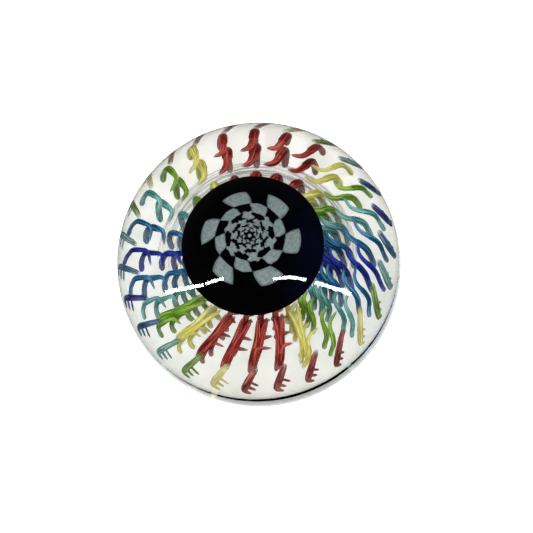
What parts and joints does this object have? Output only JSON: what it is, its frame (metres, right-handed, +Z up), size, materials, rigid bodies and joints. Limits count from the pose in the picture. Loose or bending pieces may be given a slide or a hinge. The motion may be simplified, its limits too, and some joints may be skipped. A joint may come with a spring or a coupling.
{
  "type": "glass paperweight",
  "caption": "Clear glass dome paperweight with a black domed centre carrying a white spiral of lozenges, ringed by columns of rainbow-coloured hooked threads.",
  "frame": {"origin": "centre of the ground base, on the surface that the weight stands on", "axes": "+Z up through the top of the dome, +Y away from the side that faces the viewer"},
  "size_m": [0.076, 0.076, 0.0521],
  "materials": {
    "clear_glass": "clear, smooth and fire polished",
    "base_glass": "clear, ground flat and polished",
    "inner_glass": "clear, fused inside the casing",
    "black_glass": "opaque black, glossy",
    "white_glass": "milky white, slightly sheer",
    "red_thread": "drawn coloured glass, slightly sheer",
    "yellow_thread": "drawn coloured glass, slightly sheer",
    "green_thread": "drawn coloured glass, slightly sheer",
    "teal_thread": "drawn coloured glass, slightly sheer",
    "steel_thread": "drawn coloured glass, slightly sheer",
    "blue_thread": "drawn coloured glass, slightly sheer",
    "muted_red_thread": "drawn coloured glass, sheer and muted",
    "muted_yellow_thread": "drawn coloured glass, sheer and muted",
    "muted_green_thread": "drawn coloured glass, sheer and muted",
    "muted_teal_thread": "drawn coloured glass, sheer and muted",
    "muted_steel_thread": "drawn coloured glass, sheer and muted",
    "muted_blue_thread": "drawn coloured glass, sheer and muted"
  },
  "bodies": {
    "root": {"clear_casing": "clear_glass", "ground_base": "base_glass", "claw_gather": "inner_glass", "thread_gather": "inner_glass", "crown_gather": "inner_glass", "black_cushion": "black_glass", "centre_button": "white_glass", "lozenge_ring_1": "white_glass", "lozenge_ring_2": "white_glass", "lozenge_ring_3": "white_glass", "lozenge_ring_4": "white_glass", "lozenge_ring_5": "white_glass", "lozenge_ring_6": "white_glass", "lozenge_ring_7": "white_glass", "threads_red": "red_thread", "threads_yellow": "yellow_thread", "threads_green": "green_thread", "threads_teal": "teal_thread", "threads_steel": "steel_thread", "threads_blue": "blue_thread", "claws_red": "muted_red_thread", "claws_yellow": "muted_yellow_thread", "claws_green": "muted_green_thread", "claws_teal": "muted_teal_thread", "claws_steel": "muted_steel_thread", "claws_blue": "muted_blue_thread"}
  },
  "joints": []
}
